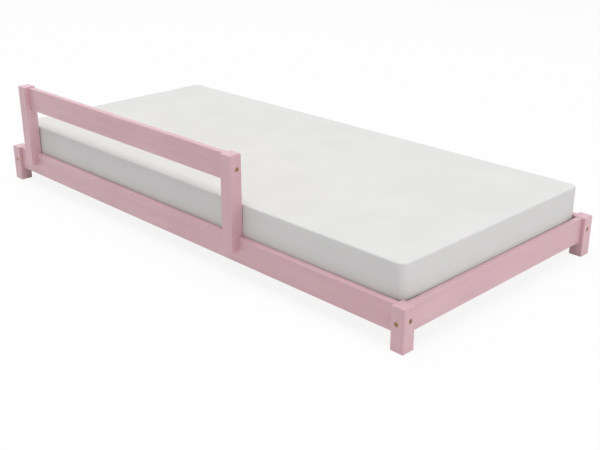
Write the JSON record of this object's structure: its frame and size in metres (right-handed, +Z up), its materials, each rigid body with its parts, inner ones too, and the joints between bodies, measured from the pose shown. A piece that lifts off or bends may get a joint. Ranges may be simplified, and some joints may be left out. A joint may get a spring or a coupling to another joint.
{
  "type": "kids bed",
  "caption": "Low painted floor bed for a child: short square legs, bolted rails, slatted base, plain mattress and a part-length guard frame on the front side rail.",
  "frame": {"origin": "on the floor, under the middle of the bed's bounding box", "axes": "+X towards the foot end, -Y towards the guard side, +Z up"},
  "size_m": [2.084, 0.996, 0.412],
  "materials": {
    "painted_wood": "pink satin paint over planed pine, softened edges",
    "bare_pine": "planed, untreated",
    "dowel_beech": "fluted beech dowel",
    "yellow_plated_steel": "yellow passivated, satin",
    "zinc_steel": "zinc plated",
    "webbing": "woven tape",
    "mattress_cover": "plain white knitted cover over foam"
  },
  "bodies": {
    "frame": {"leg_head_front": "painted_wood", "leg_head_back": "painted_wood", "leg_foot_front": "painted_wood", "leg_foot_back": "painted_wood", "side_rail_front": "painted_wood", "side_rail_back": "painted_wood", "end_rail_head": "painted_wood", "end_rail_foot": "painted_wood", "guard_post_head": "painted_wood", "guard_post_middle": "painted_wood", "guard_top_board": "painted_wood", "ledger_front": "bare_pine", "ledger_back": "bare_pine", "slat_01": "bare_pine", "slat_02": "bare_pine", "slat_03": "bare_pine", "slat_04": "bare_pine", "slat_05": "bare_pine", "slat_06": "bare_pine", "slat_07": "bare_pine", "slat_08": "bare_pine", "slat_09": "bare_pine", "slat_10": "bare_pine", "slat_11": "bare_pine", "slat_12": "bare_pine", "slat_13": "bare_pine", "slat_14": "bare_pine", "slat_tape_front": "webbing", "slat_tape_back": "webbing", "rail_bolts": "yellow_plated_steel", "guard_bolts": "yellow_plated_steel", "rail_barrel_nuts": "zinc_steel", "guard_barrel_nuts": "zinc_steel", "rail_dowels": "dowel_beech", "guard_dowels": "dowel_beech", "guard_screws": "yellow_plated_steel", "ledger_screws": "yellow_plated_steel", "slat_screws": "yellow_plated_steel"},
    "mattress": {"mattress": "mattress_cover"}
  },
  "joints": [
    {"name": "mattress_lift", "type": "slide", "parent": "frame", "child": "mattress", "axis": [0, 0, 1], "range_m": [0, 0.32]}
  ]
}
